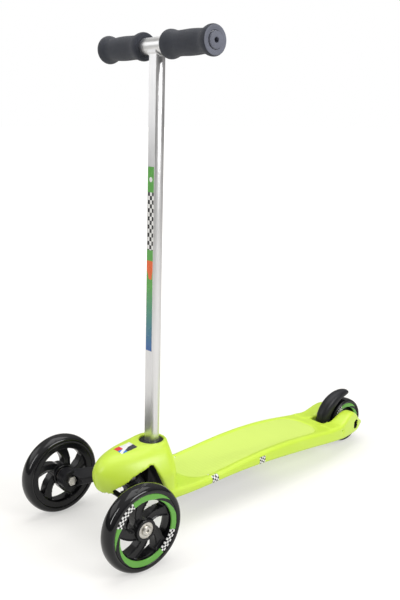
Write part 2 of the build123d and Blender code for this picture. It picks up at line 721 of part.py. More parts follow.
def grip(side):
    """Foam sleeve: a lip at each end, a larger one outside, and a middle that swells a little."""
    start, end = GRIP_INNER_END, BAR_HALF_LENGTH - 2
    with BuildPart() as sleeve:
        with BuildSketch(Plane(origin=(0, BAR_Y, BAR_HEIGHT), x_dir=(side, 0, 0), z_dir=(0, -side, 0))):
            with BuildLine():
                Spline(
                    (start, GRIP_R + 1.1), (start + 5, GRIP_LIP_R), (start + 18, GRIP_R + 0.4), (start + 45, GRIP_R + 0.9),
                    (start + 68, GRIP_R - 0.2), (end - 5, GRIP_FLANGE_R), (end, GRIP_FLANGE_R - 2.5),
                )
                Polyline((end, GRIP_FLANGE_R - 2.5), (end, BAR_R), (start, BAR_R), (start, GRIP_R + 1.1))
            make_face()
        revolve(axis=Axis((0, BAR_Y, BAR_HEIGHT), (1, 0, 0)))
    return sleeve


def bar_plug(side):
    """Plastic plug pushed into the end of the bar, with a small vent hole."""
    with BuildPart() as plug:
        with BuildSketch(across(side * (BAR_HALF_LENGTH - 20), BAR_Y, BAR_HEIGHT)):
            Circle(BAR_R - STEM_WALL)
        extrude(amount=side * 17)
        with BuildSketch(across(side * (BAR_HALF_LENGTH - 3), BAR_Y, BAR_HEIGHT)):
            Circle(BAR_R)
        extrude(amount=side * 3)
        with BuildSketch(across(side * (BAR_HALF_LENGTH - 6), BAR_Y, BAR_HEIGHT)):
            Circle(2.2)
        extrude(amount=side * 10, mode=Mode.SUBTRACT)
    return plug


for side, name in ((1, "left"), (-1, "right")):
    save(grip(side), f"grip_{name}")
    save(bar_plug(side), f"bar_plug_{name}")
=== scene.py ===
# %% [markdown]
# # A child's lean-to-steer kick scooter
#
# The scooter is a moulded lime deck with a nose hood, a T-bar of satin aluminium tube, two big
# wheels on steering arms in front, and one small wheel under a press-down brake behind.
# The CAD frame fixes every size, place and joint. This file gives each piece the shape and the
# finish that the eye sees: soft moulded edges, cast wheels, foam grips, brushed tube.

# %% Load the frame
import math

import bmesh
import bpy
from mathutils import Matrix, Vector
from mathutils.bvhtree import BVHTree
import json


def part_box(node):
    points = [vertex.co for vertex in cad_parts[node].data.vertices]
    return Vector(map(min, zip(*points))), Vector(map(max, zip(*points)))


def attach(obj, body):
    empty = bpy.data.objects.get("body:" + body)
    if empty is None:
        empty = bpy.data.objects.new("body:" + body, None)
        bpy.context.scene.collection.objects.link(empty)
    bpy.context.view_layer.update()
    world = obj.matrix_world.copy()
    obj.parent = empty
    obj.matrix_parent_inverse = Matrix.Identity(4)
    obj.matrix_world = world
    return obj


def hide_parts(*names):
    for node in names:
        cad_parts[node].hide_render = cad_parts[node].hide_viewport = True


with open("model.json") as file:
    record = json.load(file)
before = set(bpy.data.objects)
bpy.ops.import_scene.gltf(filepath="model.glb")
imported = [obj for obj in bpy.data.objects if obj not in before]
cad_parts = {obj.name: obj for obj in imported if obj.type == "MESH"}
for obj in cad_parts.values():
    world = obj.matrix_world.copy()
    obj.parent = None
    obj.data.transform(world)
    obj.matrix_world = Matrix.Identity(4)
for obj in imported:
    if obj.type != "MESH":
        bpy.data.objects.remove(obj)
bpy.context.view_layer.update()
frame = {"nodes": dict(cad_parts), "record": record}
MM = 0.001

# %% [markdown]
# ## Places read from the frame
#
# Wheels, tubes and joints take their places from the frame. The middle of a wheel is the middle of
# its tyre's box, and the stem runs from the middle of its lower end to the middle of the handlebar.
# Only the stickers and the turn of the spokes are placed by given numbers.

# %% Named places
def middle(node):
    """Middle of a CAD node's box."""
    low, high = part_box(node)
    return (low + high) / 2


WHEELS = {side: middle(f"tyre_{side}") for side in ("left", "right", "rear")}
WHEEL_R = {side: (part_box(f"tyre_{side}")[1].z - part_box(f"tyre_{side}")[0].z) / 2 for side in WHEELS}
BAR = middle("handlebar")
COLLAR = middle("stem_socket")
print("wheels", WHEELS, "bar", BAR)

# %% [markdown]
# ## Tools for modelling
#
# The pieces are made with the same operators that a person clicks. An operator acts on everything
# that is selected, so each piece starts by deselecting all.

# %% Modelling helpers
def start_clean():
    """Leave edit mode and deselect everything."""
    if bpy.context.object and bpy.context.object.mode != "OBJECT":
        bpy.ops.object.mode_set(mode="OBJECT")
    bpy.ops.object.select_all(action="DESELECT")


def named(name):
    """Name the active object and its mesh."""
    piece = bpy.context.object
    piece.name = name
    piece.data.name = name
    return piece


def only(piece):
    """Make one object the selected and active one."""
    start_clean()
    piece.select_set(True)
    bpy.context.view_layer.objects.active = piece


def edit(piece):
    """Enter edit mode on one object, working on vertices, with all of it selected."""
    only(piece)
    bpy.ops.object.mode_set(mode="EDIT")
    bpy.ops.mesh.select_mode(type="VERT")
    bpy.ops.mesh.select_all(action="SELECT")
    return bmesh.from_edit_mesh(piece.data)


def applied(piece, kind, **settings):
    """Add a modifier with these settings and apply it at once."""
    only(piece)
    modifier = piece.modifiers.new(kind.lower(), kind)
    for key, value in settings.items():
        setattr(modifier, key, value)
    bpy.ops.object.modifier_apply(modifier=modifier.name)
    return piece


def pick(piece, test, kind="FACE"):
    """In edit mode, select the faces, edges or vertices that pass a test on their place."""
    mesh = bmesh.from_edit_mesh(piece.data)
    bpy.ops.mesh.select_all(action="DESELECT")
    bpy.ops.mesh.select_mode(type=kind)
    found = {"FACE": mesh.faces, "EDGE": mesh.edges, "VERT": mesh.verts}[kind]
    count = 0
    for item in found:
        if test(item):
            item.select_set(True)
            count += 1
    mesh.select_flush_mode()
    bmesh.update_edit_mesh(piece.data)
    return count


def rounded(piece, width, segments=3, angle=32):
    """Round the sharp edges and shade the piece smooth."""
    applied(piece, "BEVEL", width=width, segments=segments, limit_method="ANGLE",
            angle_limit=math.radians(angle))
    only(piece)
    bpy.ops.object.shade_smooth_by_angle(angle=math.radians(38))
    return piece


def outward(piece):
    """Merge doubles and turn every face outwards."""
    edit(piece)
    bpy.ops.mesh.remove_doubles(threshold=1e-6)
    bpy.ops.mesh.normals_make_consistent(inside=False)
    bpy.ops.object.mode_set(mode="OBJECT")
    return piece


def placed(piece):
    """Bake an object's own place into its mesh, so that it sits at the origin."""
    only(piece)
    bpy.ops.object.transform_apply(location=True, rotation=True, scale=True)
    return piece


def copied(piece, name, turn=None):
    """A copy with its own mesh, moved by a matrix."""
    only(piece)
    bpy.ops.object.duplicate()
    twin = named(name)
    if turn is not None:
        twin.data.transform(turn)
        if turn.determinant() < 0:
            outward(twin)
    return twin


def joined(pieces, name):
    """Join several objects into one."""
    start_clean()
    for piece in pieces:
        piece.select_set(True)
    bpy.context.view_layer.objects.active = pieces[0]
    bpy.ops.object.join()
    return named(name)


def spun(name, outline, centre, steps=96):
    """Turn an outline of (distance along X, radius) points about an axis along X through a centre."""
    start_clean()
    bpy.ops.mesh.primitive_plane_add(size=MM, location=(0, 0, 0))
    piece = named(name)
    edit(piece)
    bpy.ops.mesh.delete(type="VERT")
    mesh = bmesh.from_edit_mesh(piece.data)
    points = [mesh.verts.new((centre.x + x, centre.y, centre.z + r)) for x, r in outline]
    closed = points + points[:1]
    for one, two in zip(closed, closed[1:]):
        mesh.edges.new((one, two))
    bmesh.update_edit_mesh(piece.data)
    bpy.ops.mesh.select_all(action="SELECT")
    bpy.ops.mesh.spin(steps=steps, angle=math.tau, center=centre, axis=(1, 0, 0))
    bpy.ops.object.mode_set(mode="OBJECT")
    outward(piece)
    print(name, "spun with", len(piece.data.polygons), "faces")
    return piece

# %% [markdown]
# ## Studio
#
# The scooter stands on a pale seamless floor under large soft lights. The brightest one is on the
# rider's left, so the deck's flank and the side of the stem shine and the nose falls into half
# shade. A narrow strip near the camera puts the long highlights on the tyres, and a card on the
# other side is there for the flat of the stem to mirror.

# %% Floor, world, lights and camera
def build_floor():
    start_clean()
    bpy.ops.mesh.primitive_grid_add(x_subdivisions=8, y_subdivisions=8, size=60, location=(0, 0, 0))
    floor = named("studio_floor")
    return floor


def area_light(name, place, target, size, size_y, power, colour=(1, 1, 1)):
    """A rectangular softbox at a place, aimed at a target."""
    start_clean()
    bpy.ops.object.light_add(type="AREA", location=place)
    lamp = bpy.context.object
    lamp.name = name
    lamp.data.shape = "RECTANGLE"
    lamp.data.size = size
    lamp.data.size_y = size_y
    lamp.data.energy = power
    lamp.data.color = colour
    aim = Vector(target) - Vector(place)
    lamp.rotation_euler = aim.to_track_quat("-Z", "Y").to_euler()
    return lamp


FLOOR = build_floor()
area_light("key_softbox", (2.1, 0.5, 1.5), (0, 0, 0.2), 1.3, 1.0, 36)
area_light("top_softbox", (-0.3, 0.3, 2.4), (0, 0, 0), 2.2, 2.2, 30)
area_light("strip_left", (-0.35, -2.2, 1.3), (0.05, -0.25, 0.05), 0.14, 1.5, 12)
area_light("left_card", (-1.5, -1.35, 1.2), (0, -0.16, 0.6), 1.4, 1.0, 5)

world = bpy.data.worlds.new("studio_air")
bpy.context.scene.world = world
world.use_nodes = True
air = world.node_tree
seen = air.nodes["Background"]
seen.inputs["Color"].default_value = (1, 1, 1, 1)
seen.inputs["Strength"].default_value = 1.0
room = air.nodes.new("ShaderNodeBackground")
room.inputs["Color"].default_value = (1, 0.99, 0.97, 1)
height = air.nodes.new("ShaderNodeSeparateXYZ")
air.links.new(air.nodes.new("ShaderNodeTexCoord").outputs["Generated"], height.inputs[0])
wall = air.nodes.new("ShaderNodeMapRange")
wall.inputs["From Min"].default_value, wall.inputs["From Max"].default_value = 0.0, 0.9
wall.inputs["To Min"].default_value, wall.inputs["To Max"].default_value = 0.08, 0.62
air.links.new(height.outputs["Z"], wall.inputs["Value"])
air.links.new(wall.outputs["Result"], room.inputs["Strength"])
mixed = air.nodes.new("ShaderNodeMixShader")
air.links.new(air.nodes.new("ShaderNodeLightPath").outputs["Is Camera Ray"], mixed.inputs[0])
air.links.new(room.outputs[0], mixed.inputs[1])
air.links.new(seen.outputs[0], mixed.inputs[2])
air.links.new(mixed.outputs[0], air.nodes["World Output"].inputs["Surface"])
bpy.context.scene.view_settings.view_transform = "Standard"

EYE = Vector((0.8346, -0.7944, 0.5830))
YAW, PITCH, ROLL = math.radians(49.08), math.radians(13.51), math.radians(0.56)
bpy.ops.object.camera_add(location=EYE)
camera = bpy.context.object
camera.name = "studio_camera"
turn = (Matrix.Rotation(YAW, 3, "Z") @ Matrix.Rotation(math.pi / 2 - PITCH, 3, "X")
        @ Matrix.Rotation(ROLL, 3, "Z"))
camera.rotation_euler = turn.to_euler()
camera.data.sensor_fit = "VERTICAL"
camera.data.sensor_height = 36.0
camera.data.lens = 46.13
bpy.context.scene.camera = camera
print("camera at", EYE, "lens", camera.data.lens)

# %% [markdown]
# ## Writing a material
#
# A material is a small network of nodes round one Principled shader. `put` adds a node and fills
# its inputs with numbers or with links, and `shader` starts a material.

# %% Node helpers
def put(tree, kind, *values, operation=None, label=None, **named_values):
    """Add a node, fill its inputs in order or by name, and return it."""
    node = tree.nodes.new(kind)
    if operation:
        node.operation = operation
    if label:
        node.label = label
    for key, value in list(enumerate(values)) + list(named_values.items()):
        name = key.replace("_", " ") if isinstance(key, str) else key
        if isinstance(value, bpy.types.NodeSocket):
            tree.links.new(value, node.inputs[name])
        elif value is not None:
            node.inputs[name].default_value = value
    return node


def calc(tree, operation, *values):
    """A Math node's result."""
    return put(tree, "ShaderNodeMath", *values, operation=operation).outputs[0]


def ramp(tree, value, low, high, start=0.0, end=1.0, smooth=True):
    """Map a value from low..high to start..end, clamped."""
    node = tree.nodes.new("ShaderNodeMapRange")
    node.interpolation_type = "SMOOTHSTEP" if smooth else "LINEAR"
    tree.links.new(value, node.inputs["Value"])
    for name, setting in (("From Min", low), ("From Max", high), ("To Min", start), ("To Max", end)):
        node.inputs[name].default_value = setting
    return node.outputs["Result"]


def blend_colours(tree, amount, one, two):
    """Mix two colours by an amount."""
    node = tree.nodes.new("ShaderNodeMix")
    node.data_type = "RGBA"
    colours = [socket for socket in node.inputs if socket.type == "RGBA"]
    for socket, value in ((node.inputs[0], amount), (colours[0], one), (colours[1], two)):
        if isinstance(value, bpy.types.NodeSocket):
            tree.links.new(value, socket)
        else:
            socket.default_value = value
    return [socket for socket in node.outputs if socket.type == "RGBA"][0]


def shader(name, roughness=0.5, **settings):
    """A new material with its Principled shader; returns the material, its tree and the shader."""
    material = bpy.data.materials.new(name)
    material.use_nodes = True
    tree = material.node_tree
    principled = tree.nodes["Principled BSDF"]
    principled.inputs["Roughness"].default_value = roughness
    for key, value in settings.items():
        principled.inputs[key.replace("_", " ")].default_value = value
    return material, tree, principled


def place_of(tree, centre=(0, 0, 0), stretch=(1, 1, 1)):
    """Object coordinates, measured from a centre."""
    place = tree.nodes.new("ShaderNodeTexCoord").outputs["Object"]
    moved = put(tree, "ShaderNodeVectorMath", place, tuple(-c for c in centre), operation="ADD").outputs[0]
    return put(tree, "ShaderNodeVectorMath", moved, stretch, operation="MULTIPLY").outputs[0]


def bump(tree, principled, height, distance):
    """Raise the surface by a height, over a distance in metres."""
    node = put(tree, "ShaderNodeBump", Height=height, Strength=1.0, Distance=distance)
    tree.links.new(node.outputs["Normal"], principled.inputs["Normal"])


def effect(name, inputs, outputs):
    """A shader node group with float or vector inputs and outputs."""
    tree = bpy.data.node_groups.new(name, "ShaderNodeTree")
    for label, kind in inputs:
        tree.interface.new_socket(label, in_out="INPUT", socket_type=kind)
    for label in outputs:
        tree.interface.new_socket(label, in_out="OUTPUT", socket_type="NodeSocketFloat")
    return tree, tree.nodes.new("NodeGroupInput"), tree.nodes.new("NodeGroupOutput")


def use(tree, group, **inputs):
    """Place a node group in a material and fill its inputs."""
    node = tree.nodes.new("ShaderNodeGroup")
    node.node_tree = group
    for name, value in inputs.items():
        if isinstance(value, bpy.types.NodeSocket):
            tree.links.new(value, node.inputs[name])
        else:
            node.inputs[name].default_value = value
    return node.outputs

# %% [markdown]
# ## Effects shared by several materials
#
# *Mould grain* is the fine orange-peel that a textured mould leaves. *Handling* is the faint patchy
# change of gloss that hands and dust leave on any real surface. *Checks* is a chequered flag, and
# *draw lines* are the long hair-fine lines that a die leaves along a drawn tube.

# %% Mould grain, handling, checks and draw lines
FLOAT, VECTOR = "NodeSocketFloat", "NodeSocketVector"


def make_mould_grain():
    tree, inside, outside = effect("mould_grain", [("Place", VECTOR), ("Size", FLOAT)], ["Height"])
    fine = put(tree, "ShaderNodeTexNoise", Vector=inside.outputs["Place"], Detail=3.0, Roughness=0.6)
    tree.links.new(inside.outputs["Size"], fine.inputs["Scale"])
    tree.links.new(fine.outputs[0], outside.inputs["Height"])
    return tree


def make_handling():
    tree, inside, outside = effect("handling", [("Place", VECTOR), ("Amount", FLOAT)], ["Gloss", "Scuff"])
    cloud = put(tree, "ShaderNodeTexNoise", Vector=inside.outputs["Place"], Scale=28.0, Detail=5.0)
    patch = ramp(tree, cloud.outputs[0], 0.35, 0.7)
    tree.links.new(calc(tree, "MULTIPLY", patch, inside.outputs["Amount"]), outside.inputs["Gloss"])
    long = put(tree, "ShaderNodeVectorMath", inside.outputs["Place"], (900, 60, 900), operation="MULTIPLY")
    hair = put(tree, "ShaderNodeTexNoise", Vector=long.outputs[0], Scale=1.0, Detail=2.0)
    mark = calc(tree, "MULTIPLY", ramp(tree, hair.outputs[0], 0.66, 0.74), patch)
    tree.links.new(calc(tree, "MULTIPLY", mark, inside.outputs["Amount"]), outside.inputs["Scuff"])
    return tree


def make_checks():
    tree, inside, outside = effect("checks", [("Across", FLOAT), ("Along", FLOAT)], ["White"])
    steps = [calc(tree, "FLOOR", inside.outputs[name]) for name in ("Across", "Along")]
    odd = calc(tree, "FLOORED_MODULO", calc(tree, "ADD", *steps), 2.0)
    tree.links.new(calc(tree, "GREATER_THAN", odd, 0.5), outside.inputs["White"])
    return tree


def make_draw_lines():
    tree, inside, outside = effect("draw_lines", [("Place", VECTOR), ("Along", VECTOR)], ["Height"])
    squeezed = put(tree, "ShaderNodeVectorMath", inside.outputs["Place"], inside.outputs["Along"],
                   operation="MULTIPLY")
    lines = put(tree, "ShaderNodeTexNoise", Vector=squeezed.outputs[0], Scale=1.0, Detail=4.0, Roughness=0.7)
    tree.links.new(lines.outputs[0], outside.inputs["Height"])
    return tree


MOULD_GRAIN, HANDLING = make_mould_grain(), make_handling()
CHECKS, DRAW_LINES = make_checks(), make_draw_lines()
print("effects", [group.name for group in (MOULD_GRAIN, HANDLING, CHECKS, DRAW_LINES)])

# %% [markdown]
# ## Studio floor
#
# Studio paper from a roll: a matt warm white with a very faint, broad mottle. The paper also glows:
# painted light that lightens the shadows on it, grows brighter further out so that it runs into the
# white of the background, and shines faintly on the scooter from below.

# %% Floor paper
def make_paper():
    material, tree, surface = shader("studio_paper", 0.9, Specular_IOR_Level=0.1)
    place = place_of(tree)
    mottle = put(tree, "ShaderNodeTexNoise", Vector=place, Scale=3.0, Detail=3.0)
    tree.links.new(blend_colours(tree, ramp(tree, mottle.outputs[0], 0.3, 0.7), (0.50, 0.49, 0.47, 1),
                                 (0.53, 0.52, 0.51, 1)), surface.inputs["Base Color"])
    # Painted light: the paper glows at 0.30 towards the scooter and, where seen directly, more brightly further
    # out, so the shadows on it stay faint.
    away = put(tree, "ShaderNodeVectorMath", place, operation="LENGTH").outputs["Value"]
    seen_directly = tree.nodes.new("ShaderNodeLightPath").outputs["Is Camera Ray"]
    glow = put(tree, "ShaderNodeMix", seen_directly, None, 0.30, ramp(tree, away, 0.5, 2.2, 0.46, 1.0))
    tree.links.new(glow.outputs[0], surface.inputs["Emission Strength"])
    surface.inputs["Emission Color"].default_value = (1.0, 0.995, 0.98, 1)
    fibre = put(tree, "ShaderNodeTexNoise", Vector=place, Scale=700.0, Detail=2.0)
    bump(tree, surface, fibre.outputs[0], 0.00005)
    return material


FLOOR.data.materials.append(make_paper())

# %% [markdown]
# ## Lime plastic
#
# The deck is one large moulding of polypropylene, dyed through. Its skin is satin, with a trace of
# orange peel. The tread panel has a coarser spark grain and fine cross lines for grip, so it looks
# paler and duller than the flanks. The panel's outline is a mask over the object's own
# coordinates: straight at the sides and rounded at both ends.

# %% Lime plastic
PANEL_FRONT, PANEL_BACK, PANEL_HALF = -0.118, 0.178, 0.0405


def panel_mask(tree, place, feather=0.0015):
    """1 on the tread panel and 0 outside it: the distance to a long rounded rectangle."""
    split = put(tree, "ShaderNodeSeparateXYZ", place).outputs
    centre, half, corner = (PANEL_FRONT + PANEL_BACK) / 2, (PANEL_BACK - PANEL_FRONT) / 2, 0.034
    across = calc(tree, "MAXIMUM", calc(tree, "SUBTRACT", calc(tree, "ABSOLUTE", split["X"]),
                                        PANEL_HALF - corner), 0.0)
    along = calc(tree, "MAXIMUM", calc(tree, "SUBTRACT", calc(tree, "ABSOLUTE", calc(
        tree, "SUBTRACT", split["Y"], centre)), half - corner), 0.0)
    reach = calc(tree, "SQRT", calc(tree, "ADD", calc(tree, "POWER", across, 2.0),
                                    calc(tree, "POWER", along, 2.0)))
    flat = ramp(tree, reach, corner - feather, corner, 1.0, 0.0)
    normal = put(tree, "ShaderNodeSeparateXYZ", tree.nodes.new("ShaderNodeTexCoord").outputs["Normal"]).outputs
    return calc(tree, "MULTIPLY", flat, ramp(tree, normal["Z"], 0.5, 0.7))


def make_lime():
    material, tree, surface = shader("lime_plastic", Coat_Weight=0.12, Coat_Roughness=0.25)
    place = place_of(tree)
    panel = panel_mask(tree, place)
    worn = use(tree, HANDLING, Place=place, Amount=0.5)
    base = blend_colours(tree, panel, (0.565, 0.775, 0.052, 1), (0.605, 0.775, 0.135, 1))
    dusty = blend_colours(tree, calc(tree, "MULTIPLY", worn["Gloss"], 0.16), base, (0.70, 0.84, 0.22, 1))
    tree.links.new(dusty, surface.inputs["Base Color"])
    rough = calc(tree, "ADD", ramp(tree, panel, 0, 1, 0.34, 0.58), calc(tree, "MULTIPLY", worn["Gloss"], 0.09))
    tree.links.new(rough, surface.inputs["Roughness"])
    peel = use(tree, MOULD_GRAIN, Place=place, Size=260.0)["Height"]
    spark = use(tree, MOULD_GRAIN, Place=place, Size=1500.0)["Height"]
    ribs = calc(tree, "SINE", calc(tree, "MULTIPLY", put(tree, "ShaderNodeSeparateXYZ", place).outputs["Y"],
                                   math.tau / 0.006))
    grip = calc(tree, "ADD", calc(tree, "MULTIPLY", spark, 0.6), calc(tree, "MULTIPLY", ribs, 0.12))
    height = calc(tree, "ADD", calc(tree, "MULTIPLY", peel, 0.35), calc(tree, "MULTIPLY", grip, panel))
    bump(tree, surface, height, 0.00022)
    return material


LIME = make_lime()
print(LIME.name, len(LIME.node_tree.nodes), "nodes")

# %% [markdown]
# ## Black plastics, cast metal and foam
#
# Black is never one black. The brake lever is satin with a soft grain, the tyres are poured
# polyurethane with a wet gloss, the cast parts have a leathery powder coat, and the grips are foam
# rubber, whose skin is full of tiny cells and scatters light as velvet does.

# %% Black finishes and foam
def make_black(name, colour, rough, grain, depth, coat=0.0, shine=0.25):
    material, tree, surface = shader(name, Coat_Weight=coat, Coat_Roughness=0.08, Specular_IOR_Level=shine)
    place = place_of(tree)
    worn = use(tree, HANDLING, Place=place, Amount=1.0)
    pale = tuple(min(1.0, c * 2.1 + 0.012) for c in colour[:3]) + (1,)
    tone = blend_colours(tree, calc(tree, "ADD", calc(tree, "MULTIPLY", worn["Gloss"], 0.25),
                                    calc(tree, "MULTIPLY", worn["Scuff"], 0.3)), colour, pale)
    tree.links.new(tone, surface.inputs["Base Color"])
    tree.links.new(calc(tree, "ADD", calc(tree, "MULTIPLY", worn["Gloss"], 0.10), rough),
                   surface.inputs["Roughness"])
    bump(tree, surface, use(tree, MOULD_GRAIN, Place=place, Size=grain)["Height"], depth)
    return material


SATIN_BLACK = make_black("satin_black_plastic", (0.012, 0.012, 0.015, 1), 0.34, 900.0, 0.00010)
TYRE_BLACK = make_black("poured_tyre", (0.004, 0.004, 0.005, 1), 0.06, 120.0, 0.00003, shine=0.4)
CAST_BLACK = make_black("powder_coat", (0.009, 0.009, 0.011, 1), 0.42, 620.0, 0.00022)
GREY_PLUG = make_black("grey_plug", (0.125, 0.132, 0.165, 1), 0.5, 700.0, 0.00012)


def make_foam():
    material, tree, surface = shader("grip_foam", Sheen_Weight=0.08, Sheen_Roughness=0.6)
    place = place_of(tree)
    cells = put(tree, "ShaderNodeTexVoronoi", Vector=place, Scale=1400.0)
    blotch = put(tree, "ShaderNodeTexNoise", Vector=place, Scale=90.0, Detail=4.0)
    mixed = calc(tree, "ADD", cells.outputs["Distance"], calc(tree, "MULTIPLY", blotch.outputs[0], 0.6))
    shade = ramp(tree, mixed, 0.25, 1.2)
    tree.links.new(blend_colours(tree, shade, (0.013, 0.0155, 0.023, 1), (0.030, 0.034, 0.048, 1)),
                   surface.inputs["Base Color"])
    tree.links.new(ramp(tree, blotch.outputs[0], 0.3, 0.7, 0.78, 0.9), surface.inputs["Roughness"])
    bump(tree, surface, calc(tree, "ADD", cells.outputs["Distance"], blotch.outputs[0]), 0.0003)
    return material


FOAM = make_foam()
print("black finishes and foam made")

# %% [markdown]
# ## Metals
#
# The stem and the bar are extruded aluminium tube, brushed along its length and clear anodised:
# bright, hardly yellow, with hair-fine lines. The bolts and bearings are zinc plated steel, a
# little warmer, with turning rings and a faint haze.

# %% Aluminium and steel
def make_metal(name, colour, dark, rough, along, depth, haze):
    material, tree, surface = shader(name, Metallic=1.0)
    place = place_of(tree)
    lines = use(tree, DRAW_LINES, Place=place, Along=along)["Height"]
    cloud = use(tree, HANDLING, Place=place, Amount=1.0)["Gloss"]
    tree.links.new(blend_colours(tree, ramp(tree, lines, 0.35, 0.65), dark, colour),
                   surface.inputs["Base Color"])
    tree.links.new(calc(tree, "ADD", ramp(tree, lines, 0.3, 0.7, rough - 0.05, rough + 0.08, smooth=False),
                        calc(tree, "MULTIPLY", cloud, haze)), surface.inputs["Roughness"])
    bump(tree, surface, lines, depth)
    return material


STEM_METAL = make_metal("brushed_stem", (0.82, 0.82, 0.82, 1), (0.74, 0.74, 0.75, 1), 0.33,
                        (2200.0, 2200.0, 9.0), 0.000008, 0.05)
BAR_METAL = make_metal("brushed_bar", (0.84, 0.84, 0.84, 1), (0.77, 0.77, 0.77, 1), 0.30,
                       (9.0, 2200.0, 2200.0), 0.000008, 0.05)
STEEL = make_metal("zinc_steel", (0.68, 0.66, 0.61, 1), (0.56, 0.54, 0.50, 1), 0.27,
                   (500.0, 500.0, 500.0), 0.00003, 0.10)
print("metals made")

# %% [markdown]
# ## The printed ring of a wheel
#
# The wheel core is gloss black, and its outer face carries a pad-printed ring: sickle-shaped green
# bands that overlap, with chequered pieces between them. The print is worked out from each
# point's angle and distance from the axle, so it sits on the flat of the rim and turns with the
# wheel. An angle of 0 is at the top and grows clockwise, as seen from outside.

# %% Wheel core with its print
def between(tree, value, low, high):
    """1 where a value is between two limits."""
    return calc(tree, "MULTIPLY", calc(tree, "GREATER_THAN", value, low),
                calc(tree, "LESS_THAN", value, high))


def sickle(tree, angle, t, start, full, end, edge, low=0.0, high=1.0):
    """A band from one angle to another, one edge of which moves across between two angles."""
    turned = calc(tree, "FLOORED_MODULO", calc(tree, "SUBTRACT", angle, start), 360.0)
    grows = (high > low) == (edge == "outer")
    first, last = (0, full - start) if grows else (full - start, end - start)
    move = ramp(tree, turned, first, last, low, high, smooth=False)
    inside = calc(tree, "GREATER_THAN", t, move) if edge == "inner" else calc(tree, "LESS_THAN", t, move)
    return calc(tree, "MULTIPLY", calc(tree, "LESS_THAN", turned, end - start), inside)


def make_core(name, centre, side, inner, outer, printed=True, face=0.0095):
    material, tree, surface = shader(name, Coat_Weight=0.1, Coat_Roughness=0.06, Specular_IOR_Level=0.3)
    place = place_of(tree, centre)
    split = put(tree, "ShaderNodeSeparateXYZ", place).outputs
    worn = use(tree, HANDLING, Place=place, Amount=1.0)
    tone = blend_colours(tree, calc(tree, "MULTIPLY", worn["Gloss"], 0.3), (0.005, 0.005, 0.006, 1),
                         (0.014, 0.014, 0.017, 1))
    if printed:
        across = calc(tree, "MULTIPLY", split["Y"], float(side))
        angle = calc(tree, "FLOORED_MODULO", calc(tree, "MULTIPLY", calc(
            tree, "ARCTAN2", across, split["Z"]), 180 / math.pi), 360.0)
        radius = calc(tree, "SQRT", calc(tree, "ADD", calc(tree, "POWER", split["Y"], 2.0),
                                         calc(tree, "POWER", split["Z"], 2.0)))
        t = ramp(tree, radius, inner, outer, 0.0, 1.0, smooth=False)
        bands = [
            sickle(tree, angle, t, 335, 374, 413, "inner"),
            sickle(tree, angle, t, 30, 85, 107, "outer", 0.05, 1.0),
            sickle(tree, angle, t, 147, 205, 283, "outer", 1.0, 0.0),
            sickle(tree, angle, t, 257, 293, 293, "inner", 1.0, 0.1),
        ]
        green = bands[0]
        for band in bands[1:]:
            green = calc(tree, "MAXIMUM", green, band)
        flag = calc(tree, "MAXIMUM", between(tree, angle, 293, 335), between(tree, angle, 107, 147))
        white = use(tree, CHECKS, Across=calc(tree, "MULTIPLY", t, 3.0),
                    Along=calc(tree, "MULTIPLY", angle, 1 / 4.0))["White"]
        ring = calc(tree, "MULTIPLY", between(tree, radius, inner, outer),
                    calc(tree, "GREATER_THAN", calc(tree, "MULTIPLY", split["X"], float(side)), face))
        tone = blend_colours(tree, calc(tree, "MULTIPLY", green, ring), tone, (0.13, 0.385, 0.06, 1))
        tone = blend_colours(tree, calc(tree, "MULTIPLY", calc(tree, "MULTIPLY", flag, white), ring), tone,
                             (0.80, 0.80, 0.79, 1))
    tree.links.new(tone, surface.inputs["Base Color"])
    tree.links.new(ramp(tree, worn["Gloss"], 0, 1, 0.17, 0.27), surface.inputs["Roughness"])
    bump(tree, surface, use(tree, MOULD_GRAIN, Place=place, Size=400.0)["Height"], 0.00006)
    return material


CORE_FINISH = {
    "left": make_core("front_core_left", WHEELS["left"], 1, 0.0410, 0.0498),
    "right": make_core("front_core_right", WHEELS["right"], -1, 0.0410, 0.0498),
    "rear": make_core("rear_core", WHEELS["rear"], 1, 0.0250, 0.0327),
}
print("core finishes", [material.name for material in CORE_FINISH.values()])

# %% [markdown]
# ## Deck
#
# The real deck comes out of one mould, so its hood, tread and rear fork flow into each other with
# no seam. The CAD solid has the right sizes but hard joins. A copy of it is merged, turned into an
# even skin of small squares by a voxel remesh, and relaxed: that rounds every join the way a mould
# does. The rims of the stem collar and of the axle recesses are kept crisp by a vertex group.
# Then the tread panel is pressed in by a millimetre, with a soft shoulder. The walls inside the
# hood and the axle recesses are picked by place and normal, and get a second, black material: this
# black is painted shade for the dark hollows.

# %% Deck
def recast(node, name, voxel, passes, keep=None):
    """A merged, remeshed and relaxed copy of a CAD node; `keep` says where not to relax."""
    start_clean()
    source = frame["nodes"][node]
    piece = source.copy()
    piece.data = source.data.copy()
    piece.name = piece.data.name = name
    bpy.context.collection.objects.link(piece)
    for modifier in list(piece.modifiers):
        piece.modifiers.remove(modifier)
    outward(piece)
    applied(piece, "REMESH", mode="VOXEL", voxel_size=voxel, adaptivity=0.0)
    group = piece.vertex_groups.new(name="relax")
    skin = bmesh.new()
    skin.from_mesh(piece.data)
    weights = skin.verts.layers.deform.verify()
    for vertex in skin.verts:
        vertex[weights][group.index] = keep(vertex.co) if keep else 1.0
    skin.to_mesh(piece.data)
    skin.free()
    applied(piece, "SMOOTH", factor=0.5, iterations=passes, vertex_group="relax")
    only(piece)
    bpy.ops.object.shade_smooth()
    print(name, "has", len(piece.data.polygons), "faces")
    return piece


def soft_step(value, low, high):
    t = min(1.0, max(0.0, (value - low) / (high - low)))
    return t * t * (3 - 2 * t)


def deck_relax(place):
    """Relax everywhere but round the collar and the rear axle recesses."""
    collar = math.hypot(place.x, place.y - COLLAR.y)
    if place.z > 0.112 and collar < 0.026:
        return 0.25
    axle = math.hypot(place.y - WHEELS["rear"].y, place.z - WHEELS["rear"].z)
    return 0.3 + 0.7 * soft_step(axle, 0.009, 0.014)


